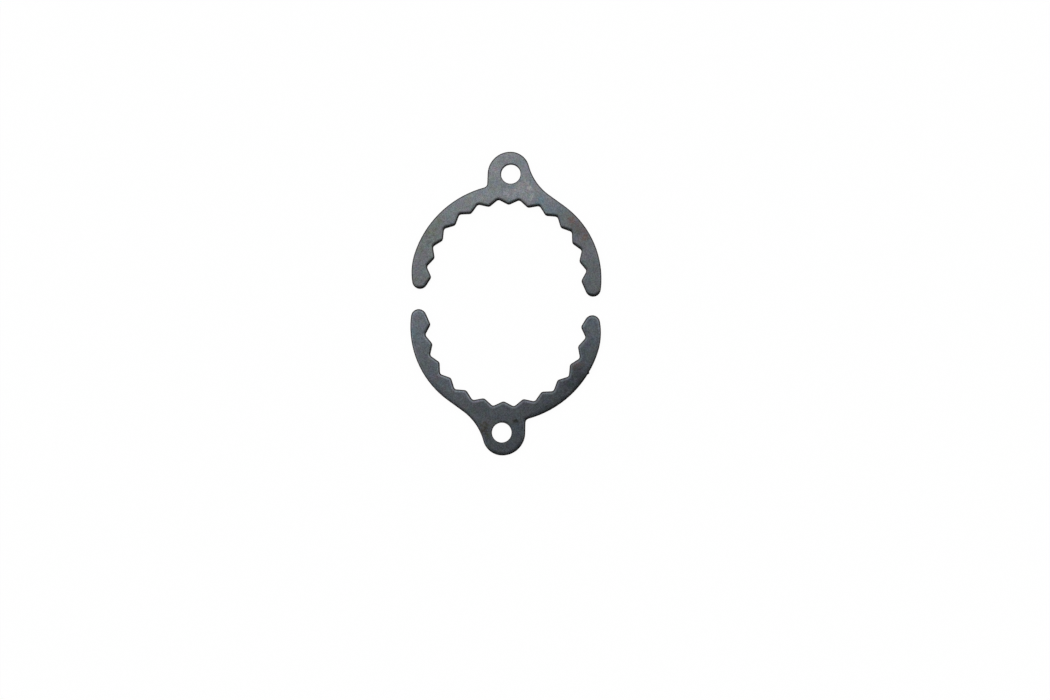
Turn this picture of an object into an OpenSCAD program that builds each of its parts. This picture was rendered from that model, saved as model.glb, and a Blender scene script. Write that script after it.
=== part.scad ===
// Pair of lock tabs
// Each tab is one flat steel stamping: a half ring whose inner edge has a row of teeth
// that grip the corners of a hexagon nut, and an ear for the bolt that holds it.
// Frame: Z = 0 is the underside, the origin is midway between the two nut centres,
// and the ears point along +Y and -Y, apart from the small turn of each tab as it lies.
// All sizes are in millimetres.
// In a tab's own frame the nut centre is the origin and the ear points along +Y,
// with the ear's steep heel on the -X side and its long shoulder on the +X side.

/* [Sheet] */
// Thickness of the steel sheet
sheet_t = 1.5; // [1.2:0.1:4]
// Width of the rounded rim that stamping leaves round the top face
rim_w = 1.6; // [0.4:0.05:1.7]
// Depth of that rounded rim
rim_h = 0.35; // [0.1:0.05:0.8]

/* [Nut seat] */
// Width across flats of the nut
nut_af = 60; // [42:0.5:80]
// Gap from a corner of the nut to the sharp bottom of a notch
corner_gap = 1.2; // [0.5:0.1:2]
// Angle between the two flanks of a notch
notch_angle = 112.5; // [100:0.5:124]
// Notches in a full turn, of which the seat has half
notches_per_turn = 24; // [12, 24, 36]
// Radius left at the tip of a tooth on the flat face, inside the rim
tip_land_r = 0.1; // [0.1:0.05:0.5]
// Radius at the bottom of a notch
root_r = 1.4; // [0.3:0.1:1.7]

/* [Arms] */
// Metal behind the notches at the end of the shoulder-side arm
shoulder_arm_w = 6.3; // [4:0.1:12]
// Sideways offset of that arm's outer arc, which thins the arm towards the ear
shoulder_arm_offset = 1.6; // [0:0.1:2.5]
// Metal behind the notches at the end of the heel-side arm
heel_arm_w = 6.9; // [5:0.1:11]
// Sideways offset of that arm's outer arc
heel_arm_offset = 1.5; // [0:0.1:2.5]
// Drop of the centre of that outer arc below the nut centre
heel_arm_drop = 1.7; // [0:0.1:2.5]
// Radius of the round end of each arm
end_r = 3.4; // [2:0.05:4]
// Drop of the shoulder-side round end below the nut centre
shoulder_end_drop = 3.3; // [2:0.1:8]
// Drop of the heel-side round end below the nut centre
heel_end_drop = 1.9; // [1:0.1:8]
// Trim of the shoulder-side round end from the arm's outer edge
shoulder_end_trim = 0.05; // [0:0.05:0.5]
// Trim of the heel-side round end from the arm's outer edge
heel_end_trim = 1.1; // [0:0.05:1.2]
// Height above the nut centre at which the shoulder-side outer edge starts to close on its round end
shoulder_close = 0; // [0:0.1:5]
// Height above the nut centre at which the heel-side outer edge starts to close on its round end
heel_close = 10.4; // [5:0.1:12]

/* [Ear] */
// Distance of the bolt's centre beyond the outer edge of the shoulder-side arm
bolt_reach = 4.9; // [3:0.1:10]
// Sideways offset of the bolt from the middle tooth
bolt_offset = 0.5; // [-1:0.1:1]
// Size of the bolt
bolt_d = 8; // [5:0.5:10]
// Play of the bolt in its hole, across the diameter
bolt_play = 0.7; // [0.2:0.1:1]
// Width of the rounded rim at the top of the hole
hole_rim = 0.4; // [0.1:0.05:0.6]
// Sideways offset of the ear from the middle tooth
ear_offset = 0.2; // [-0.5:0.1:0.5]
// Radius of the ear on its heel side
ear_r = 10; // [8:0.1:13]
// How much smaller the radius of the ear is on its shoulder side
ear_shoulder_less = 1.4; // [0.5:0.1:2]
// Radius of the tight fillet at the ear's heel
heel_r = 1.9; // [0.8:0.1:2.5]
// Radius of the long hollow between the ear and its shoulder
hollow_r = 24; // [16:0.5:30]
// Angle at which the straight shoulder leaves the arm's outer arc
shoulder_angle = 55.5; // [52:0.5:58]

/* [Pair] */
// Distance between the two nut centres as the tabs lie
pair_gap = 20.7; // [14:0.1:60]
// Sideways distance between the two nut centres as the tabs lie
pair_shift = 0.35; // [-2:0.05:2]
// Turn of each tab about its nut centre as it lies: the upper one clockwise, the lower one anticlockwise
lay_turn = 0.3; // [-2:0.1:2]

/* [Wear] */
// How far the burr on the outer edge of the lower tab stands out
burr_h = 0.45; // [0.1:0.05:0.6]
// Length of that burr along the edge
burr_w = 2; // [1:0.1:3]
// Place of the burr, as an angle round the heel-side arm's outer arc
burr_angle = 150; // [130:1:160]

/* [Hidden] */
$fn = 96;

rim_steps = 5;
arc_step = 3.5;
corner_steps = 4;
end_step = 15;
heel_steps = 6;
same_point = 0.001;
overshoot = 1;
burr_root = 0.5;
burr_peak = 0.2;

pitch = 360 / notches_per_turn;
notch_r = nut_af / 2 / cos(30) + corner_gap;
tooth_r = notch_r * sin(notch_angle / 2) / sin(pitch / 2 + notch_angle / 2);
tip_r = rim_w + tip_land_r;

shoulder_arc_c = [shoulder_arm_offset, 0];
shoulder_arc_r = notch_r + shoulder_arm_w - shoulder_arm_offset;
heel_arc_c = [heel_arm_offset, -heel_arm_drop];
heel_arc_r = notch_r + heel_arm_w + heel_arm_offset;

bolt_y = notch_r + shoulder_arm_w + bolt_reach;
hole_r = (bolt_d + bolt_play) / 2;
ear_c = [ear_offset, bolt_y];
ear_shoulder_r = ear_r - ear_shoulder_less;
ear_shoulder_c = ear_c + [0, ear_shoulder_less];

// Vectors in the plane
function polar(r, a) = [r * cos(a), r * sin(a)];
function unit(v) = v / norm(v);
function left_of(v) = [-v.y, v.x];
function angle_of(v) = atan2(v.y, v.x);

// Points along an arc round c, from angle a0 to a1, in n steps
function arc(c, r, a0, a1, n) = [for (i = [0 : n]) c + polar(r, a0 + (a1 - a0) * i / n)];
function steps(a0, a1, step) = max(1, ceil(abs(a1 - a0) / step));
function fine_arc(c, r, a0, a1, step) = arc(c, r, a0, a1, steps(a0, a1, step));

// Anticlockwise arc round c from the direction a0 to the direction a1, whatever turn each is counted in
function turn_arc(c, r, a0, a1, step) = fine_arc(c, r, a0, a0 + (a1 - a0 + 720) % 360, step);

// How far along the direction w, from the point p, the distance to c becomes r
function reach(p, w, c, r) =
    let (d = p - c, b = w * d)
    -b - sqrt(b * b - d * d + r * r);

// Direction, from the centre c, of the point where a line from p touches a circle
function touch(p, c, r, side) = angle_of(p - c) - side * acos(r / norm(p - c));

// Corner b of the path a-b-c, rounded with radius r
function rounded(a, b, c, r) =
    let (
        u = unit(a - b), v = unit(c - b),
        half = acos(u * v) / 2,
        o = b + unit(u + v) * r / sin(half),
        a0 = angle_of(b + u * r / tan(half) - o),
        a1 = angle_of(b + v * r / tan(half) - o),
        turn = (a1 - a0 + 540) % 360 - 180
    )
    arc(o, r, a0, a0 + turn, corner_steps);

// Directions at which the two outer arcs start to close on the round ends
shoulder_stop = asin(shoulder_close / shoulder_arc_r);
heel_stop = 180 - asin((heel_close + heel_arm_drop) / heel_arc_r);

// Long hollow: a circle that touches the straight shoulder and the ear from outside
shoulder_out = polar(1, shoulder_angle);
hollow_start = shoulder_arc_c + shoulder_out * (shoulder_arc_r + hollow_r);
hollow_c = hollow_start + left_of(shoulder_out)
    * reach(hollow_start, left_of(shoulder_out), ear_shoulder_c, ear_shoulder_r + hollow_r);

// Tight fillet: a circle that touches the ear's upright side and the heel-side arm
heel_start = ear_c - [ear_r + heel_r, 0];
heel_c = heel_start + [0, -1] * reach(heel_start, [0, -1], heel_arc_c, heel_arc_r + heel_r);

// Round ends of the arms
shoulder_end_c = [
    shoulder_arc_c.x + sqrt(pow(shoulder_arc_r, 2) - pow(shoulder_end_drop, 2)) - end_r - shoulder_end_trim,
    -shoulder_end_drop
];
heel_end_c = [
    heel_arc_c.x - sqrt(pow(heel_arc_r, 2) - pow(heel_end_drop - heel_arm_drop, 2)) + end_r + heel_end_trim,
    -heel_end_drop
];

// Closing arcs: each leaves the outer arc smoothly and runs smoothly into the round end
function closing_r(c, r, a, end_c) =
    let (q = c + polar(r, a) - end_c)
    (q * q - end_r * end_r) / (2 * (q * polar(1, a) - end_r));
shoulder_closing_r = closing_r(shoulder_arc_c, shoulder_arc_r, shoulder_stop, shoulder_end_c);
shoulder_closing_c = shoulder_arc_c + polar(shoulder_arc_r - shoulder_closing_r, shoulder_stop);
shoulder_closed = angle_of(shoulder_end_c - shoulder_closing_c);
heel_closing_r = closing_r(heel_arc_c, heel_arc_r, heel_stop, heel_end_c);
heel_closing_c = heel_arc_c + polar(heel_arc_r - heel_closing_r, heel_stop);
heel_closed = angle_of(heel_end_c - heel_closing_c);

// Row of teeth, as sharp corners from the heel side to the shoulder side
function tooth_corner(i) = polar(i % 2 == 0 ? tooth_r : notch_r, 180 - i * pitch / 2);
last_corner = notches_per_turn;
heel_touch = touch(tooth_corner(0), heel_end_c, end_r, 1);
shoulder_touch = touch(tooth_corner(last_corner), shoulder_end_c, end_r, -1);
function row_corner(i) =
    i < 0 ? heel_end_c + polar(end_r, heel_touch)
    : i > last_corner ? shoulder_end_c + polar(end_r, shoulder_touch)
    : tooth_corner(i);
tooth_row = [
    for (i = [0 : last_corner])
        each rounded(row_corner(i - 1), row_corner(i), row_corner(i + 1), i % 2 == 0 ? tip_r : root_r)
];

// A closed outline without the points that lie on the next one
function distinct(points) =
    let (n = len(points))
    [for (i = [0 : n - 1]) if (norm(points[(i + 1) % n] - points[i]) > same_point) points[i]];

// Whole outline of a tab, anticlockwise
hollow_end = angle_of(ear_shoulder_c - hollow_c);
tab_outline = distinct(concat(
    fine_arc(shoulder_arc_c, shoulder_arc_r, shoulder_stop, shoulder_angle, arc_step),
    fine_arc(hollow_c, hollow_r, shoulder_angle - 180, hollow_end, arc_step),
    fine_arc(ear_shoulder_c, ear_shoulder_r, hollow_end + 180, 90, 2 * arc_step),
    fine_arc(ear_c, ear_r, 90, 180, 2 * arc_step),
    arc(heel_c, heel_r, 0, angle_of(heel_arc_c - heel_c), heel_steps),
    fine_arc(heel_arc_c, heel_arc_r, angle_of(heel_c - heel_arc_c), heel_stop, arc_step),
    turn_arc(heel_closing_c, heel_closing_r, heel_stop, heel_closed, arc_step),
    turn_arc(heel_end_c, end_r, heel_closed, heel_touch, end_step),
    tooth_row,
    turn_arc(shoulder_end_c, end_r, shoulder_touch, shoulder_closed, end_step),
    turn_arc(shoulder_closing_c, shoulder_closing_r, shoulder_closed, shoulder_stop, arc_step)
));

// Moves every edge of a closed anticlockwise outline inwards by d
function inset(points, d) =
    let (n = len(points))
    [
        for (i = [0 : n - 1])
            let (
                a = left_of(unit(points[i] - points[(i + n - 1) % n])),
                b = left_of(unit(points[(i + 1) % n] - points[i]))
            )
            points[i] + d * (a + b) / (1 + a * b)
    ];

// Turn of a point round the nut centre, counted on from straight below it
function turn_of(p) = (angle_of(p) + 90 + 360) % 360;

// True where the next point round the nut centre is on the outer edge and not on the inner one
function outer_next(turns, outer, inner, a, b) =
    b == len(inner) - 1 || (a < len(outer) - 1 && turns[outer[a + 1]] <= turns[inner[b + 1]]);

// Flat face of a tab: triangles between the outer edge and the tooth row, anticlockwise,
// each as three places in the outline
function face_band(outline) =
    let (
        n = len(outline),
        turns = [for (p = outline) turn_of(p)],
        first = [for (i = [0 : n - 1]) if (turns[i] == min(turns)) i][0],
        last = [for (i = [0 : n - 1]) if (turns[i] == max(turns)) i][0],
        outer_n = (last - first + n) % n,
        outer = [for (i = [0 : outer_n]) (first + i) % n],
        inner = [for (i = [0 : n - outer_n]) (first - i + n) % n]
    )
    [
        for (
            a = 1, b = 0, go_out = outer_next(turns, outer, inner, a, b);
            a + b < n - 1;
            a = go_out ? a + 1 : a,
            b = go_out ? b : b + 1,
            go_out = outer_next(turns, outer, inner, a, b)
        )
        [outer[a], go_out ? outer[a + 1] : inner[b + 1], inner[b]]
    ];

// Solid plate with a sharp underside and a rounded rim round its top
module rimmed_plate(outline) {
    n = len(outline);
    band = face_band(outline);
    levels = concat(
        [[0, 0]],
        [for (i = [0 : rim_steps]) let (a = 90 * i / rim_steps)
            [sheet_t - rim_h * (1 - sin(a)), rim_w * (1 - cos(a))]]
    );
    top = len(levels) - 1;
    polyhedron(
        points = [for (l = levels) each [for (p = inset(outline, l[1])) [p.x, p.y, l[0]]]],
        faces = concat(
            band,
            [for (l = [0 : top - 1]) for (i = [0 : n - 1])
                [l * n + i, (l + 1) * n + i, (l + 1) * n + (i + 1) % n, l * n + (i + 1) % n]],
            [for (t = band) [t[2] + top * n, t[1] + top * n, t[0] + top * n]]
        )
    );
}

// Bolt hole with a rounded rim at its top
module bolt_hole() {
    rotate_extrude()
        polygon(concat(
            [[0, -overshoot], [hole_r, -overshoot]],
            [for (i = [0 : rim_steps]) let (a = 90 * i / rim_steps)
                [hole_r + hole_rim * (1 - cos(a)), sheet_t - hole_rim * (1 - sin(a))]],
            [[hole_r + hole_rim, sheet_t + overshoot], [0, sheet_t + overshoot]]
        ));
}

// Torn nub on the straight wall of the heel-side arm, below the rounded rim
module burr() {
    translate([heel_arc_c.x, heel_arc_c.y, 0])
        rotate([0, 0, burr_angle])
            translate([heel_arc_r - burr_root, 0, 0])
                linear_extrude(height = sheet_t - rim_h)
                    polygon([
                        [0, -burr_w / 2 - burr_root],
                        [burr_root + burr_h, burr_peak * burr_w],
                        [0, burr_w / 2 + burr_root]
                    ]);
}

// One tab in its own frame
module lock_tab() {
    difference() {
        rimmed_plate(tab_outline);
        translate([bolt_offset, bolt_y, 0])
            bolt_hole();
    }
}

module upper_lock_tab() {
    color("slategray")
        translate([-pair_shift / 2, pair_gap / 2, 0])
            rotate([0, 0, -lay_turn])
                lock_tab();
}

module lower_lock_tab() {
    color("dimgray")
        translate([pair_shift / 2, -pair_gap / 2, 0])
            rotate([0, 0, 180 + lay_turn]) {
                lock_tab();
                burr();
            }
}

upper_lock_tab();
lower_lock_tab();
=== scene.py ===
"""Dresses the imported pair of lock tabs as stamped, heat-treated steel on a plain white floor.

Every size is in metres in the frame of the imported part: the origin is on the underside midway
between the two nut centres, +Y points to the ear of the upper tab and +Z out of the top faces.
Angles are in degrees. The room's ceiling is bright towards +Y, so that the rounded rims of the
top faces catch it.
"""

import logging
import math
from dataclasses import dataclass, field
from enum import Enum

import bpy
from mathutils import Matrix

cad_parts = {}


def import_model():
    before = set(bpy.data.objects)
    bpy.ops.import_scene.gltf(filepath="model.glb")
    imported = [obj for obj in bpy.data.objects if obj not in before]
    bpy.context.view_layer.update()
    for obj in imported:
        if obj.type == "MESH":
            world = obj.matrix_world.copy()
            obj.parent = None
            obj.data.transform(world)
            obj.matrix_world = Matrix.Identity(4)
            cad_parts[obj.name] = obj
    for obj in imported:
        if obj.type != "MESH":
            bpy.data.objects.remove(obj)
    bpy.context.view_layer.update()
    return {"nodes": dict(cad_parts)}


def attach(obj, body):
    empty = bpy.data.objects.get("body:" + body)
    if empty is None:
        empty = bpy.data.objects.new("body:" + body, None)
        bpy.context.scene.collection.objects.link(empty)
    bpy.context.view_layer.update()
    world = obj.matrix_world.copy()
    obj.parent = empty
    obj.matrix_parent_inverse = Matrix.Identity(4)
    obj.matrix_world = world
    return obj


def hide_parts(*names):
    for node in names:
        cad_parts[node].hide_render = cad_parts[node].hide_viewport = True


LOG = logging.getLogger("lock_tabs")
MM = 0.001
BODY = "root"

Colour = tuple[float, float, float]
Place = tuple[float, float]
Span = tuple[float, float]
Source = bpy.types.NodeSocket | float | tuple

WHITE = (1.0, 1.0, 1.0)
# Near-black painted on the steep outer edge of the rim, as painted shade
BLACK_SCALE = (0.015, 0.012, 0.010)
# Values between which nearly all of a soft noise lies
NOISE_SPAN = (0.25, 0.75)
# Octaves of finer noise
SOFT = 2.0
CRISP = 3.0
ORIGIN = (0.0, 0.0, 0.0)
# Size along Z of a flat pattern, so large that the height of the thin sheet hardly counts
DEEP = 1.0
# Size along an axis that leaves the axis out of a distance
ENDLESS = 1000.0
# Inputs of a mix node, as factor, first and second value, and its output
COLOUR_INPUTS = (0, 6, 7)
COLOUR_OUTPUT = 2
NUMBER_INPUTS = (0, 2, 3)
NUMBER_OUTPUT = 0


class Tab(Enum):
    """The two tabs of the pair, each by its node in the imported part."""

    UPPER = "upper_lock_tab"
    LOWER = "lower_lock_tab"


class FaceKind(Enum):
    """The two kinds of surface that stamping leaves, in the order of the material slots."""

    ROLLED = 0
    SHEARED = 1


class Oxide(Enum):
    """Tones of thin oxide and rubbed metal, and tones of painted light and shade, each as what it
    multiplies the steel's colour by.
    """

    BLUE = (0.80, 0.93, 1.02)
    TEAL = (0.86, 1.01, 1.04)
    GREEN = (0.95, 1.04, 0.98)
    OLIVE = (0.98, 1.02, 0.86)
    PINK = (1.08, 0.98, 1.00)
    VIOLET = (0.98, 0.93, 1.02)
    BROWN = (1.06, 0.84, 0.76)
    UMBER = (0.88, 0.79, 0.76)
    MOSS = (1.00, 0.93, 0.70)
    CREAM = (1.34, 1.28, 1.20)
    PALE = (1.30, 1.30, 1.30)
    # Painted highlight of the rounded rim
    RUBBED = (1.42, 1.42, 1.42)
    DARK = (0.70, 0.70, 0.70)
    SOOT = (0.42, 0.42, 0.36)


CLOUD_TONES = (Oxide.GREEN, Oxide.PINK, Oxide.TEAL, Oxide.OLIVE)


class Layer(Enum):
    """Layers of noise in the steel, each by how far its seed lies from the finish's own."""

    CLOUD = 0.0
    RAGGED = 5.0
    FLECK = 11.0
    GRAIN = 13.0
    STREAK = 17.0
    GLOSS = 19.0
    PICKLED = 23.0
    ROLLED = 29.0


class NodeBoard:
    """A node tree, with one short method for each kind of node that the finishes use."""

    def __init__(self, tree: bpy.types.NodeTree) -> None:
        """Empties the tree.

        Args:
            tree: Node tree of a material or of the world.
        """
        self.tree = tree
        self.tree.nodes.clear()

    def add(self, kind: str, **settings: object) -> bpy.types.Node:
        """Adds a node.

        Args:
            kind: Type name of the node.
            settings: Attributes to set on it.

        Returns:
            The new node.
        """
        node = self.tree.nodes.new(kind)
        for name, value in settings.items():
            setattr(node, name, value)
        return node

    def feed(self, socket: bpy.types.NodeSocket, source: Source) -> None:
        """Links a socket to another one, or sets its value.

        Args:
            socket: Input to fill.
            source: Output socket, number or vector.
        """
        if isinstance(source, bpy.types.NodeSocket):
            self.tree.links.new(source, socket)
        elif socket.type == "RGBA":
            socket.default_value = (*source, 1.0)
        else:
            socket.default_value = source

    def end(self, result: Source, kind: str = "ShaderNodeOutputMaterial") -> None:
        """Ends the tree in its output node.

        Args:
            result: Surface or background to show.
            kind: Type name of the output node.
        """
        self.feed(self.add(kind).inputs["Surface"], result)

    def math(self, operation: str, a: Source, b: Source) -> bpy.types.NodeSocket:
        """Combines two numbers.

        Args:
            operation: Name of the operation.
            a: First number.
            b: Second number.

        Returns:
            Output of the node.
        """
        node = self.add("ShaderNodeMath", operation=operation)
        self.feed(node.inputs[0], a)
        self.feed(node.inputs[1], b)
        return node.outputs[0]

    def axis(self, vector: Source, name: str) -> bpy.types.NodeSocket:
        """Takes one coordinate out of a vector.

        Args:
            vector: Vector to take it from.
            name: X, Y or Z.

        Returns:
            The coordinate.
        """
        node = self.add("ShaderNodeSeparateXYZ")
        self.feed(node.inputs[0], vector)
        return node.outputs[name]

    def length(self, vector: Source) -> bpy.types.NodeSocket:
        """Measures a vector.

        Args:
            vector: Vector to measure.

        Returns:
            Its length.
        """
        node = self.add("ShaderNodeVectorMath", operation="LENGTH")
        self.feed(node.inputs[0], vector)
        return node.outputs["Value"]

    def mix(self, factor: Source, a: Source, b: Source, blend: str = "MIX") -> bpy.types.NodeSocket:
        """Mixes two colours.

        Args:
            factor: Share of the second colour.
            a: First colour.
            b: Second colour.
            blend: Blend mode.

        Returns:
            Output of the node.
        """
        node = self.add("ShaderNodeMix", data_type="RGBA", blend_type=blend)
        for number, source in zip(COLOUR_INPUTS, (factor, a, b)):
            self.feed(node.inputs[number], source)
        return node.outputs[COLOUR_OUTPUT]

    def tint(self, colour: Source, tone: Source, share: Source = 1.0) -> bpy.types.NodeSocket:
        """Multiplies a colour by a tone.

        Args:
            colour: Colour to change.
            tone: Colour or number to multiply it by.
            share: How much of the change is made.

        Returns:
            Colour output.
        """
        return self.mix(share, colour, tone, "MULTIPLY")

    def blend(self, factor: Source, a: Source, b: Source) -> bpy.types.NodeSocket:
        """Mixes two numbers.

        Args:
            factor: Share of the second number.
            a: First number.
            b: Second number.

        Returns:
            Output of the node.
        """
        node = self.add("ShaderNodeMix", data_type="FLOAT")
        for number, source in zip(NUMBER_INPUTS, (factor, a, b)):
            self.feed(node.inputs[number], source)
        return node.outputs[NUMBER_OUTPUT]

    def spread(
        self, value: Source, low: float, high: float, to: Span = (0.0, 1.0)
    ) -> bpy.types.NodeSocket:
        """Maps a number smoothly from one range to another.

        Args:
            value: Number to map.
            low: Value that gives the first end of the new range.
            high: Value that gives its second end.
            to: The two ends of the new range.

        Returns:
            Output of the node.
        """
        node = self.add("ShaderNodeMapRange", interpolation_type="SMOOTHSTEP")
        for socket, source in zip(node.inputs, (value, low, high, *to)):
            self.feed(socket, source)
        return node.outputs[0]

    def place(
        self, vector: Source, location: tuple, turn: float, scale: tuple
    ) -> bpy.types.NodeSocket:
        """Moves coordinates to a place, turns them about Z and stretches them.

        Args:
            vector: Coordinates to map.
            location: Point that becomes the origin.
            turn: Angle in degrees of the pattern's own X axis.
            scale: Size of the pattern along its own axes.

        Returns:
            Output of the node.
        """
        node = self.add("ShaderNodeMapping", vector_type="TEXTURE")
        self.feed(node.inputs["Vector"], vector)
        node.inputs["Location"].default_value = location
        node.inputs["Rotation"].default_value = (0.0, 0.0, math.radians(turn))
        node.inputs["Scale"].default_value = scale
        return node.outputs[0]

    def noise(
        self, vector: Source, size: float, detail: float, seed: float
    ) -> bpy.types.NodeSocket:
        """Makes soft noise.

        Args:
            vector: Coordinates in metres.
            size: Size of its patches in metres.
            detail: Octaves of finer noise.
            seed: Number that sets one noise apart from another of the same size.

        Returns:
            Grey output of the node.
        """
        node = self.add("ShaderNodeTexNoise", noise_dimensions="4D")
        self.feed(node.inputs["Vector"], vector)
        node.inputs["W"].default_value = seed
        node.inputs["Scale"].default_value = 1.0 / size
        node.inputs["Detail"].default_value = detail
        return node.outputs[0]

    def vivid(self, vector: Source, size: float, swing: float, seed: float) -> bpy.types.NodeSocket:
        """Makes coloured noise round white, to multiply a colour by.

        Args:
            vector: Coordinates in metres.
            size: Size of its patches in metres.
            swing: How far each channel goes from white.
            seed: Number that sets one noise apart from another of the same size.

        Returns:
            Colour output.
        """
        low, high = NOISE_SPAN
        gain = 2.0 * swing / (high - low)
        noise = self.noise(vector, size, SOFT, seed).node
        scaled = self.add("ShaderNodeVectorMath", operation="MULTIPLY_ADD")
        self.feed(scaled.inputs[0], noise.outputs["Color"])
        self.feed(scaled.inputs[1], (gain,) * 3)
        self.feed(scaled.inputs[2], (1.0 - gain * (low + high) / 2.0,) * 3)
        return scaled.outputs[0]

    def bump(self, height: Source, depth: float, strength: float = 1.0) -> bpy.types.NodeSocket:
        """Turns a height into a normal.

        Args:
            height: Height in shares of the depth.
            depth: Depth of the relief in metres.
            strength: How much of it shows.

        Returns:
            Normal output.
        """
        node = self.add("ShaderNodeBump")
        node.inputs["Strength"].default_value = strength
        node.inputs["Distance"].default_value = depth
        self.feed(node.inputs["Height"], height)
        return node.outputs[0]


def empty_material(name: str) -> tuple[bpy.types.Material, NodeBoard]:
    """Makes a material with an empty node tree.

    Args:
        name: Name of the material.

    Returns:
        The material and its node tree.
    """
    material = bpy.data.materials.new(name)
    material.use_nodes = True
    return material, NodeBoard(material.node_tree)


@dataclass(frozen=True)
class Stain:
    """A cloud, spot or scratch of one tone on the top face of a tab; some are painted light and shade.

    Attributes:
        oxide: Its tone.
        at: X and Y of its middle, in millimetres.
        size: Half its width and half its length, in millimetres.
        strength: How much of the tone shows in its middle.
        turn: Angle of its own X axis.
    """

    oxide: Oxide
    at: Place
    size: Place
    strength: float = 1.0
    turn: float = 0.0


@dataclass(frozen=True)
class OxidisedSteel:
    """Finish of the flat faces: blue-grey steel with oxide clouds, flecks, stains and streaks, and
    painted light and shade.

    Attributes:
        name: Name of the material.
        base: Colour of the steel.
        stains: Clouds, spots and scratches that lie at places of their own, some of them painted light
            and shade.
        seed: Number that sets the noise of one tab apart from the other's.
        drift: What multiplies the colour at the two ends of drift_x, as painted light and shade.
        drift_x: Stretch of X over which the painted light drifts.
        cloud: Size of the slow clouds of the first tone.
        cloud_shrink: How much smaller the clouds of each further tone are.
        cloud_span: Noise at which a cloud starts, and at which it is full.
        cloud_share: Strength of a full cloud.
        ragged: Size of the tatters at the edge of a stain.
        ragged_span: Noise that draws the edge furthest out, and furthest in.
        ragged_reach: How far it does so, as shares of the stain's size.
        stain_edge: Distance at which a stain starts and is full, as shares of its size.
        fleck: Size of the coloured flecks.
        fleck_swing: How far they change each channel.
        grain: Size of the fine grain.
        grain_swing: How far it changes the colour.
        streak: Width and length of a rubbed streak.
        streak_turn: Angle of the direction across a streak.
        streak_span: Noise at which a streak starts and is full.
        streak_share: Strength of a full streak.
        rim_tone: Tone painted on the rounded rim as light and shade: a highlight on the lower tab, a
            slight shade on the upper.
        rim_share: Strength of that tone.
        rim_reach: Upward part of the normal at which the tone starts and is full.
        black_reach: Upward part of the normal at which the black painted shade of the steep outer edge
            starts and is full.
        roughness: Mean roughness.
        roughness_swing: How far the roughness changes.
        rolled: Size of the waves that the rolls left.
        rolled_height: Height of the waves, in relief depths.
        pickled: Size of the pickled pits, as a share of the grain.
        relief: Depth of the relief.
    """

    name: str
    base: Colour
    stains: tuple[Stain, ...] = ()
    seed: float = 0.0
    # Painted light and shade: lighter towards -X, darker towards +X
    drift: Span = (1.1, 0.8)
    drift_x: Span = (-28.0 * MM, 28.0 * MM)
    cloud: float = 7.0 * MM
    cloud_shrink: float = 0.15
    cloud_span: Span = (0.48, 0.66)
    cloud_share: float = 0.42
    ragged: float = 1.4 * MM
    ragged_span: Span = (0.3, 0.7)
    ragged_reach: Span = (-0.4, 0.4)
    stain_edge: Span = (1.1, 0.2)
    fleck: float = 1.9 * MM
    fleck_swing: float = 0.10
    grain: float = 0.46 * MM
    grain_swing: float = 0.32
    streak: Place = (0.5 * MM, 6.0 * MM)
    streak_turn: float = 14.0
    streak_span: Span = (0.56, 0.72)
    streak_share: float = 0.25
    # Painted shade: a slightly darker rim and a black steep outer edge
    rim_tone: Oxide = Oxide.DARK
    rim_share: float = 0.10
    rim_reach: Span = (0.9995, 0.990)
    black_reach: Span = (0.991, 0.953)
    roughness: float = 0.26
    roughness_swing: float = 0.03
    rolled: float = 2.2 * MM
    rolled_height: float = 3.0
    pickled: float = 0.4
    relief: float = 0.004 * MM

    def seed_of(self, layer: Layer) -> float:
        """Gives the seed of one layer of noise."""
        return self.seed + layer.value

    def clouds(self, board: NodeBoard, point: Source) -> bpy.types.NodeSocket:
        """Colours the steel, painted lighter at one end of X and darker at the other as light and
        shade, and lays the slow clouds over it.

        Args:
            board: Node tree to build in.
            point: Coordinates on the piece.

        Returns:
            Colour output.
        """
        drift = board.spread(board.axis(point, "X"), *self.drift_x, self.drift)
        colour = board.tint(self.base, drift)
        for number, tone in enumerate(CLOUD_TONES):
            size = self.cloud * (1.0 - self.cloud_shrink * number)
            cloud = board.noise(point, size, CRISP, self.seed_of(Layer.CLOUD) + number)
            share = board.spread(cloud, *self.cloud_span, (0.0, self.cloud_share))
            colour = board.tint(colour, tone.value, share)
        return colour

    def spots(self, board: NodeBoard, point: Source, colour: Source) -> bpy.types.NodeSocket:
        """Lays each stain over the colour, with a ragged edge.

        Args:
            board: Node tree to build in.
            point: Coordinates on the piece.
            colour: Colour so far.

        Returns:
            Colour output.
        """
        tatters = board.noise(point, self.ragged, CRISP, self.seed_of(Layer.RAGGED))
        tatters = board.spread(tatters, *self.ragged_span, self.ragged_reach)
        for stain in self.stains:
            middle = tuple(value * MM for value in stain.at)
            size = tuple(value * MM for value in stain.size)
            local = board.place(point, (*middle, 0.0), stain.turn, (*size, DEEP))
            reach = board.math("ADD", board.length(local), tatters)
            share = board.spread(reach, *self.stain_edge, (0.0, stain.strength))
            colour = board.tint(colour, stain.oxide.value, share)
        return colour

    def flecks(self, board: NodeBoard, point: Source, colour: Source) -> bpy.types.NodeSocket:
        """Breaks the colour up with coloured flecks, fine grain and rubbed streaks.

        Args:
            board: Node tree to build in.
            point: Coordinates on the piece.
            colour: Colour so far.

        Returns:
            Colour output.
        """
        fleck = board.vivid(point, self.fleck, self.fleck_swing, self.seed_of(Layer.FLECK))
        grain = board.noise(point, self.grain, SOFT, self.seed_of(Layer.GRAIN))
        grain = board.spread(grain, *NOISE_SPAN, (1.0 - self.grain_swing, 1.0 + self.grain_swing))
        along = board.place(point, ORIGIN, self.streak_turn, (*self.streak, DEEP))
        streak = board.noise(along, 1.0, SOFT, self.seed_of(Layer.STREAK))
        streak = board.spread(streak, *self.streak_span, (0.0, self.streak_share))
        colour = board.tint(board.tint(colour, fleck), grain)
        return board.tint(colour, Oxide.PALE.value, streak)

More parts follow.
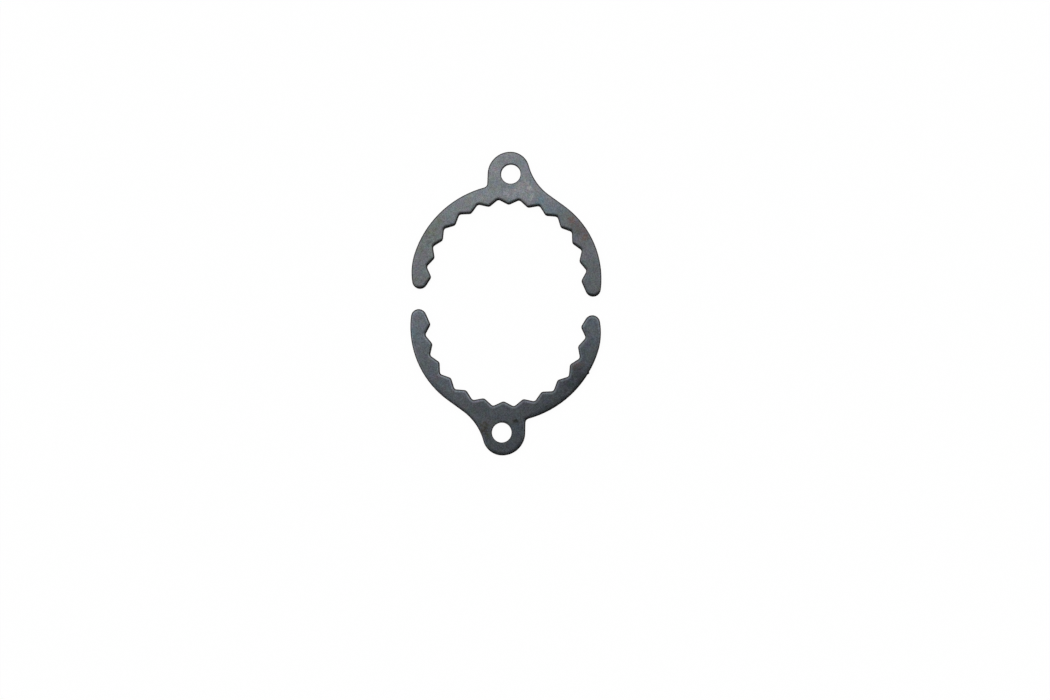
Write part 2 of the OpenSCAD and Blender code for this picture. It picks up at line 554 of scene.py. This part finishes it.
    def edges(self, board: NodeBoard, upward: Source, colour: Source) -> bpy.types.NodeSocket:
        """Paints light and shade on the rounded rim with its tone, and paints its steep outer edge
        black as shade.

        Args:
            board: Node tree to build in.
            upward: Upward part of the normal.
            colour: Colour so far.

        Returns:
            Colour output.
        """
        rim = board.spread(upward, *self.rim_reach, (0.0, self.rim_share))
        colour = board.tint(colour, self.rim_tone.value, rim)
        # Painted shade: the steep outer edge of the rim turns black
        return board.mix(board.spread(upward, *self.black_reach), colour, BLACK_SCALE)

    def surface(self, board: NodeBoard, point: Source) -> bpy.types.NodeSocket:
        """Makes the slight unevenness of the rolled sheet, with its pickled pits.

        Args:
            board: Node tree to build in.
            point: Coordinates on the piece.

        Returns:
            Normal output.
        """
        rolled = board.noise(point, self.rolled, SOFT, self.seed_of(Layer.ROLLED))
        rolled = board.math("MULTIPLY", rolled, self.rolled_height)
        pickled = board.noise(point, self.grain * self.pickled, CRISP, self.seed_of(Layer.PICKLED))
        return board.bump(board.math("ADD", rolled, pickled), self.relief)

    def build(self) -> bpy.types.Material:
        """Makes the material.

        Returns:
            The finished material.
        """
        material, board = empty_material(self.name)
        coordinates = board.add("ShaderNodeTexCoord")
        point = coordinates.outputs["Object"]
        colour = self.flecks(board, point, self.spots(board, point, self.clouds(board, point)))
        colour = self.edges(board, board.axis(coordinates.outputs["Normal"], "Z"), colour)
        gloss = board.noise(point, self.fleck, CRISP, self.seed_of(Layer.GLOSS))
        rough = (self.roughness - self.roughness_swing, self.roughness + self.roughness_swing)
        shader = board.add("ShaderNodeBsdfPrincipled")
        board.feed(shader.inputs["Base Color"], colour)
        shader.inputs["Metallic"].default_value = 1.0
        board.feed(shader.inputs["Roughness"], board.spread(gloss, *NOISE_SPAN, rough))
        board.feed(shader.inputs["Normal"], self.surface(board, point))
        board.end(shader.outputs[0])
        return material


@dataclass(frozen=True)
class ShearedEdge:
    """Finish of the walls that the die cut: black oxide on a smooth upper and a torn lower band, so
    near-black that it also paints the shade on the walls.

    Attributes:
        name: Name of the material.
        burnished: Colour of the smooth upper band.
        torn: Colour of the torn lower band.
        band_height: Height at which the two bands meet.
        band_wander: How far their border goes up and down.
        band_blur: Half the height over which one passes into the other.
        mark: Width and height of the upright marks that the die left.
        mark_span: Noise at which a mark draws the border highest, and lowest.
        mark_depth: Depth of the marks.
        mark_strength: How much of their relief shows.
        mark_seed: Seed of their noise.
        roughness: Roughness of the smooth band.
        torn_roughness: Roughness of the torn band.
        specular: Specular level of both.
    """

    name: str = "sheared_edge"
    # Near-black: partly the cut steel's black oxide, partly painted shade of the walls
    burnished: Colour = (0.020, 0.020, 0.022)
    torn: Colour = (0.009, 0.009, 0.010)
    band_height: float = 0.75 * MM
    band_wander: float = 0.25 * MM
    band_blur: float = 0.1 * MM
    mark: Place = (0.35 * MM, 3.0 * MM)
    mark_span: Span = (0.2, 0.8)
    mark_depth: float = 0.05 * MM
    mark_strength: float = 0.6
    mark_seed: float = 2.0
    roughness: float = 0.7
    torn_roughness: float = 0.9
    specular: float = 0.1

    def build(self) -> bpy.types.Material:
        """Makes the material.

        Returns:
            The finished material.
        """
        material, board = empty_material(self.name)
        point = board.add("ShaderNodeTexCoord").outputs["Object"]
        width, height = self.mark
        upright = board.place(point, ORIGIN, 0.0, (width, width, height))
        marks = board.noise(upright, 1.0, CRISP, self.mark_seed)
        wander = board.spread(marks, *self.mark_span, (-self.band_wander, self.band_wander))
        level = board.math("ADD", board.axis(point, "Z"), wander)
        border = (self.band_height - self.band_blur, self.band_height + self.band_blur)
        upper = board.spread(level, *border)
        rough = board.spread(upper, 0.0, 1.0, (self.torn_roughness, self.roughness))
        shader = board.add("ShaderNodeBsdfPrincipled")
        board.feed(shader.inputs["Base Color"], board.mix(upper, self.torn, self.burnished))
        shader.inputs["Metallic"].default_value = 0.0
        shader.inputs["Specular IOR Level"].default_value = self.specular
        board.feed(shader.inputs["Roughness"], rough)
        board.feed(shader.inputs["Normal"], board.bump(marks, self.mark_depth, self.mark_strength))
        board.end(shader.outputs[0])
        return material


@dataclass
class DressedTab:
    """One tab: a merged copy of its solid with a softened underside edge and two finishes.

    Attributes:
        tab: Which of the two it is.
        face: Finish of the rolled faces and of the rounded rim.
        edge: Finish of the cut walls.
        weld: Distance within which corners of the solid are one corner.
        flat_angle: Angle within which triangles of the solid are one face.
        bevel_width: Width of the broken edge of the underside.
        bevel_segments: Steps in which it is broken.
        bevel_angle: Angle past which an edge is broken.
        smooth_angle: Angle up to which faces shade as one.
        wall_slope: Upward part of the normal below which a face is a wall.
        burr_height: Heights between which any other face belongs to the burr.
        piece: The piece, once it is copied.
    """

    tab: Tab
    face: OxidisedSteel
    edge: ShearedEdge
    weld: float = 0.002 * MM
    flat_angle: float = 0.5
    bevel_width: float = 0.09 * MM
    bevel_segments: int = 2
    bevel_angle: float = 60.0
    smooth_angle: float = 38.0
    wall_slope: float = 0.8
    burr_height: Span = (0.1 * MM, 1.2 * MM)
    piece: bpy.types.Object | None = field(default=None, init=False)

    def copy_solid(self, node: bpy.types.Object) -> None:
        """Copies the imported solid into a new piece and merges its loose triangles.

        Args:
            node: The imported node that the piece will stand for.
        """
        self.piece = bpy.data.objects.new(f"{self.tab.value}_steel", node.data.copy())
        bpy.context.scene.collection.objects.link(self.piece)
        bpy.ops.object.select_all(action="DESELECT")
        self.piece.select_set(True)
        bpy.context.view_layer.objects.active = self.piece
        bpy.ops.object.mode_set(mode="EDIT")
        bpy.ops.mesh.select_all(action="SELECT")
        bpy.ops.mesh.remove_doubles(threshold=self.weld)
        bpy.ops.mesh.dissolve_limited(angle_limit=math.radians(self.flat_angle))
        bpy.ops.object.mode_set(mode="OBJECT")

    def soften(self) -> None:
        """Breaks the sharp underside edge and keeps the flat faces flat beside the rounded rim."""
        bevel = self.piece.modifiers.new("underside_edge", "BEVEL")
        bevel.width = self.bevel_width
        bevel.segments = self.bevel_segments
        bevel.limit_method = "ANGLE"
        bevel.angle_limit = math.radians(self.bevel_angle)
        bpy.ops.object.modifier_apply(modifier=bevel.name)
        bpy.ops.object.shade_smooth_by_angle(angle=math.radians(self.smooth_angle))
        normals = self.piece.modifiers.new("flat_faces", "WEIGHTED_NORMAL")
        normals.keep_sharp = True
        bpy.ops.object.modifier_apply(modifier=normals.name)

    def finish(self) -> None:
        """Gives the rolled faces and their rim one finish, and the cut walls and the burr the other."""
        mesh = self.piece.data
        mesh.materials.clear()
        mesh.materials.append(self.face.build())
        mesh.materials.append(self.edge.build())
        low, high = self.burr_height
        for polygon in mesh.polygons:
            cut = abs(polygon.normal.z) < self.wall_slope or low < polygon.center.z < high
            polygon.material_index = (FaceKind.SHEARED if cut else FaceKind.ROLLED).value

    def build(self, node: bpy.types.Object) -> bpy.types.Object:
        """Makes the piece and puts it in the frame in place of its node.

        Args:
            node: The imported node.

        Returns:
            The finished piece.
        """
        self.copy_solid(node)
        self.soften()
        self.finish()
        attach(self.piece, BODY)
        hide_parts(self.tab.value)
        LOG.info("%s: %d faces", self.piece.name, len(self.piece.data.polygons))
        return self.piece


@dataclass(frozen=True)
class PhotoCamera:
    """The camera over the table, where it stood for the photograph.

    Attributes:
        frame_width_px: Width of the photograph.
        focal_px: Focal length in pixels of the photograph.
        sensor: Width of the sensor, in millimetres.
        stand: Place of the camera.
        tilt: Its turns about X, Y and Z from looking straight down.
        nearest: Distance from which it sees.
    """

    frame_width_px: float = 1050.0
    focal_px: float = 1400.0
    sensor: float = 36.0
    stand: tuple[float, float, float] = (44.955 * MM, -67.530 * MM, 614.0 * MM)
    tilt: tuple[float, float, float] = (4.439, 3.22, 1.6265)
    nearest: float = 10.0 * MM

    def build(self) -> bpy.types.Object:
        """Makes the camera and gives it to the scene.

        Returns:
            The camera.
        """
        angles = tuple(math.radians(angle) for angle in self.tilt)
        bpy.ops.object.camera_add(location=self.stand, rotation=angles)
        camera = bpy.context.object
        camera.data.sensor_width = self.sensor
        camera.data.lens = self.focal_px / self.frame_width_px * self.sensor
        camera.data.clip_start = self.nearest
        bpy.context.scene.camera = camera
        return camera


@dataclass(frozen=True)
class Floor:
    """White paper under the pair, which keeps a trace of its shadow.

    Attributes:
        size: Length of a side.
        drop: How far it lies below the underside of the pair.
        colour: Colour of the paper.
        shadow_share: How much of its true shading the camera sees.
    """

    size: float = 20.0
    drop: float = 0.02 * MM
    colour: Colour = (0.98, 0.98, 0.98)
    shadow_share: float = 0.05

    def build(self) -> bpy.types.Object:
        """Makes the floor.

        Returns:
            The floor.
        """
        bpy.ops.mesh.primitive_plane_add(size=self.size, location=(0.0, 0.0, -self.drop))
        floor = bpy.context.object
        floor.name = "floor"
        material, board = empty_material("white_paper")
        path = board.add("ShaderNodeLightPath")
        seen = board.math("ADD", path.outputs["Is Camera Ray"], path.outputs["Is Glossy Ray"])
        seen = board.math("ADD", seen, path.outputs["Is Transmission Ray"])
        seen = board.math("MINIMUM", seen, 1.0)
        paper = board.add("ShaderNodeBsdfDiffuse")
        board.feed(paper.inputs["Color"], self.colour)
        glow = board.add("ShaderNodeEmission")
        board.feed(glow.inputs["Color"], WHITE)
        blend = board.add("ShaderNodeMixShader")
        board.feed(blend.inputs[0], board.math("MULTIPLY", seen, 1.0 - self.shadow_share))
        board.feed(blend.inputs[1], paper.outputs[0])
        board.feed(blend.inputs[2], glow.outputs[0])
        board.end(blend.outputs[0])
        floor.data.materials.append(material)
        return floor


@dataclass(frozen=True)
class Room:
    """Soft light all round: white at the horizon, and a bright ceiling with a dark oval towards -Y.

    Directions are unit vectors, so a height of 1 is straight up.

    Attributes:
        ceiling: Level of the ceiling.
        oval: Level of the dark oval.
        oval_centre: X and Y of its middle.
        oval_radius: Its radii along X and Y.
        oval_edge: Where it ends and where the ceiling is reached, as shares of the radii.
        overhead: Heights at which the ceiling starts and is reached.
        walls: Levels of the walls towards -Y and towards +Y.
        walls_turn: Y at which the one level is left and the other is reached.
        horizon: Heights at which the white of the horizon starts and is reached.
    """

    ceiling: float = 1.5
    oval: float = 0.15
    oval_centre: Place = (0.07, -0.41)
    oval_radius: Place = (0.62, 0.48)
    oval_edge: Span = (0.88, 1.12)
    overhead: Span = (0.60, 0.76)
    walls: Span = (0.6, 1.4)
    walls_turn: Span = (-0.6, 0.6)
    horizon: Span = (0.42, 0.28)

    def build(self) -> bpy.types.World:
        """Makes the room as the world's light, by direction.

        Returns:
            The world.
        """
        world = bpy.data.worlds.new("studio")
        bpy.context.scene.world = world
        world.use_nodes = True
        board = NodeBoard(world.node_tree)
        direction = board.add("ShaderNodeTexCoord").outputs["Generated"]
        height = board.axis(direction, "Z")
        radii = (*self.oval_radius, ENDLESS)
        from_oval = board.length(board.place(direction, (*self.oval_centre, 0.0), 0.0, radii))
        ceiling = board.spread(from_oval, *self.oval_edge, (self.oval, self.ceiling))
        walls = board.spread(board.axis(direction, "Y"), *self.walls_turn, self.walls)
        level = board.blend(board.spread(height, *self.overhead), walls, ceiling)
        level = board.blend(board.spread(height, *self.horizon), level, 1.0)
        background = board.add("ShaderNodeBackground")
        board.feed(background.inputs["Color"], WHITE)
        board.feed(background.inputs["Strength"], level)
        board.end(background.outputs[0], "ShaderNodeOutputWorld")
        return world


UPPER_STEEL = OxidisedSteel(
    name="upper_tab_steel",
    # Lighter than the lower tab's steel, partly as painted light
    base=(0.138, 0.147, 0.160),
    # Painted shade: darker towards +X along the shoulder-side arm
    drift=(1.0, 0.70),
    drift_x=(14.0 * MM, 29.0 * MM),
    stains=(
        # Broad tones of the arms and the ear: partly the oxide's own tone, partly painted light and
        # shade
        Stain(Oxide.DARK, (-38.0, 17.0), (9.0, 20.0), 0.52),
        Stain(Oxide.DARK, (-31.5, 33.0), (9.0, 6.0), 0.60, 45.0),
        Stain(Oxide.OLIVE, (-33.0, 29.0), (9.0, 8.0), 0.45),
        Stain(Oxide.DARK, (-39.2, 10.5), (4.0, 3.5), 0.40),
        Stain(Oxide.PALE, (-15.8, 45.4), (4.0, 4.0), 0.25),
        Stain(Oxide.PALE, (-6.6, 58.4), (4.5, 7.0), 0.45),
        Stain(Oxide.PALE, (6.4, 58.4), (3.0, 5.0), 0.30),
        Stain(Oxide.PALE, (0.0, 65.6), (5.0, 3.0), 0.30),
        Stain(Oxide.PALE, (35.5, 22.0), (5.0, 5.0), 0.30),
        Stain(Oxide.PALE, (4.5, 49.5), (9.0, 5.5), 0.65),
        Stain(Oxide.PALE, (-9.0, 48.0), (8.0, 4.0), 0.30),
        Stain(Oxide.BLUE, (19.0, 42.0), (8.5, 5.0), 0.65, -35.0),
        # Round the bolt hole
        Stain(Oxide.OLIVE, (-5.8, 62.4), (2.2, 1.6), 0.8),
        Stain(Oxide.PINK, (-6.5, 58.9), (1.6, 2.6), 0.7),
        # Pink tint at the top of the ear, partly a painted highlight on its rim
        Stain(Oxide.PINK, (-0.4, 66.4), (1.7, 1.1), 0.6),
        Stain(Oxide.BLUE, (5.6, 63.2), (2.2, 2.0), 0.5, 30.0),
        Stain(Oxide.VIOLET, (8.1, 59.6), (1.6, 3.2), 0.6),
        # Rubbed patch between the bolt hole and the teeth
        Stain(Oxide.CREAM, (7.1, 53.0), (2.2, 1.2), 1.0, 20.0),
        Stain(Oxide.CREAM, (8.9, 51.2), (1.1, 2.0), 0.9, 25.0),
        Stain(Oxide.CREAM, (4.2, 53.1), (1.1, 0.8), 0.8),
        Stain(Oxide.CREAM, (2.7, 50.1), (1.2, 1.0), 1.0),
        Stain(Oxide.CREAM, (-0.7, 47.5), (1.6, 1.4), 0.7),
        Stain(Oxide.CREAM, (10.1, 46.9), (1.2, 1.8), 0.7),
        Stain(Oxide.BROWN, (-1.6, 45.7), (1.4, 0.9), 0.7),
        Stain(Oxide.DARK, (0.7, 51.1), (2.0, 1.2), 0.6),
        Stain(Oxide.DARK, (-2.0, 52.0), (3.2, 1.6), 0.35),
        Stain(Oxide.TEAL, (1.2, 51.6), (2.6, 1.4), 0.8),
        Stain(Oxide.TEAL, (9.9, 54.5), (1.6, 3.0), 0.7, 25.0),
        Stain(Oxide.VIOLET, (5.9, 47.0), (2.6, 1.0), 0.8, -8.0),
        Stain(Oxide.BLUE, (13.7, 45.4), (2.8, 2.2), 0.9, -30.0),
        Stain(Oxide.GREEN, (11.6, 48.9), (1.4, 1.1), 0.8),
        # Heel-side arm
        Stain(Oxide.PINK, (-18.2, 43.8), (2.6, 2.0), 0.6, 25.0),
        Stain(Oxide.PINK, (-12.4, 46.9), (2.6, 1.6), 0.5, 25.0),
        Stain(Oxide.GREEN, (-29.0, 37.4), (3.4, 2.4), 0.5, 40.0),
        Stain(Oxide.OLIVE, (-31.2, 35.1), (2.8, 2.0), 0.8, 45.0),
        Stain(Oxide.OLIVE, (-34.1, 31.0), (2.4, 3.0), 0.7),
        Stain(Oxide.OLIVE, (-38.7, 21.5), (1.8, 2.6), 0.6),
        Stain(Oxide.PINK, (-37.0, 21.5), (1.6, 2.2), 0.6),
        Stain(Oxide.PINK, (-40.8, 17.0), (1.2, 3.0), 0.7),
        Stain(Oxide.VIOLET, (-39.8, 13.4), (2.0, 3.2), 0.7),
        # Shoulder-side arm
        Stain(Oxide.UMBER, (31.2, 33.2), (6.6, 3.6), 1.0, -50.0),
        Stain(Oxide.BROWN, (28.2, 37.0), (2.5, 2.0), 0.9, -40.0),
        Stain(Oxide.BROWN, (34.0, 29.5), (2.0, 2.7), 0.9),
        Stain(Oxide.BLUE, (30.7, 30.0), (1.4, 1.7), 0.6),
        Stain(Oxide.DARK, (38.5, 17.3), (1.3, 5.0), 0.3, 8.0),
        Stain(Oxide.VIOLET, (36.2, 20.6), (1.6, 2.6), 0.8),
        Stain(Oxide.GREEN, (34.1, 17.6), (1.8, 2.4), 0.8),
        Stain(Oxide.TEAL, (36.9, 10.6), (3.0, 3.4), 0.7),
    ),
)
LOWER_STEEL = OxidisedSteel(
    name="lower_tab_steel",
    # Bluer and darker than the upper tab's steel; the darkness is partly painted shade
    base=(0.088, 0.098, 0.112),
    seed=40.0,
    # Painted light and shade: lighter towards -X, darker towards +X
    drift=(1.12, 0.84),
    # Painted highlight all round the rounded rim, and the black painted shade of its steep edge
    rim_tone=Oxide.RUBBED,
    rim_share=1.0,
    rim_reach=(0.9998, 0.992),
    black_reach=(0.999, 0.954),
    stains=(
        # Broad tones of the arms and the ear: partly the oxide's own tone, partly painted light and
        # shade
        Stain(Oxide.PALE, (38.0, -9.5), (6.0, 10.0), 0.80),
        Stain(Oxide.PALE, (36.5, -21.0), (5.0, 8.0), 0.30),
        Stain(Oxide.PALE, (-38.5, -10.0), (6.0, 11.0), 0.45),
        Stain(Oxide.DARK, (25.0, -40.0), (5.0, 4.0), 0.35, 35.0),
        Stain(Oxide.DARK, (-11.0, -46.0), (9.0, 5.0), 0.30),
        Stain(Oxide.DARK, (-7.2, -57.0), (2.6, 4.4), 1.0),
        # Heel-side arm, with the dark stretch beside the burr
        Stain(Oxide.DARK, (31.0, -32.0), (9.0, 6.5), 0.50, 45.0),
        Stain(Oxide.DARK, (33.5, -31.5), (4.8, 3.2), 0.80, 45.0),
        Stain(Oxide.DARK, (30.0, -35.5), (3.8, 3.0), 0.70, 45.0),
        Stain(Oxide.CREAM, (31.8, -26.8), (3.2, 1.3), 0.55, 25.0),
        Stain(Oxide.BROWN, (31.8, -27.4), (3.6, 2.0), 0.8, 25.0),
        Stain(Oxide.GREEN, (30.2, -35.0), (2.4, 2.0), 0.8),
        Stain(Oxide.VIOLET, (36.8, -18.1), (2.3, 3.6), 0.8),
        Stain(Oxide.BLUE, (38.3, -7.5), (1.8, 2.8), 0.4),
        # Shoulder-side arm
        Stain(Oxide.PINK, (-39.1, -8.0), (2.2, 3.0), 0.5),
        Stain(Oxide.TEAL, (-40.6, -14.2), (1.8, 3.4), 0.6),
        Stain(Oxide.VIOLET, (-32.6, -29.1), (2.2, 2.8), 0.6, 45.0),
        Stain(Oxide.VIOLET, (-30.6, -33.9), (2.2, 2.0), 0.5, 45.0),
        # Pale fleck at a tooth notch: a painted highlight
        Stain(Oxide.CREAM, (-14.9, -41.9), (0.9, 0.8), 0.8),
        # Round the bolt hole
        Stain(Oxide.MOSS, (-7.8, -55.4), (2.5, 3.6), 0.95),
        Stain(Oxide.MOSS, (-6.3, -59.0), (1.6, 2.0), 0.6),
        Stain(Oxide.BROWN, (-7.0, -57.6), (1.6, 1.4), 0.5),
        # Near-black band beside the bolt hole, on its +Y side
        Stain(Oxide.SOOT, (6.0, -52.0), (1.8, 1.0), 1.0, 5.0),
        Stain(Oxide.SOOT, (0.7, -52.8), (3.4, 0.9), 0.9, -10.0),
        Stain(Oxide.PINK, (-2.9, -51.5), (1.8, 1.2), 0.8),
        Stain(Oxide.PINK, (1.6, -48.4), (0.7, 3.2), 0.8),
        Stain(Oxide.PINK, (3.2, -48.0), (0.6, 2.8), 0.7),
        Stain(Oxide.BLUE, (7.1, -55.3), (1.8, 3.0), 0.5),
    ),
)


def main() -> None:
    """Builds the studio and both tabs, and logs the number of faces of each dressed tab."""
    logging.basicConfig(level=logging.INFO, format="%(name)s: %(message)s")
    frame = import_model()
    bpy.context.scene.view_settings.view_transform = "Standard"
    Floor().build()
    Room().build()
    PhotoCamera().build()
    edge = ShearedEdge()
    for tab, face in ((Tab.UPPER, UPPER_STEEL), (Tab.LOWER, LOWER_STEEL)):
        DressedTab(tab, face, edge).build(frame["nodes"][tab.value])


if __name__ == "__main__":
    main()
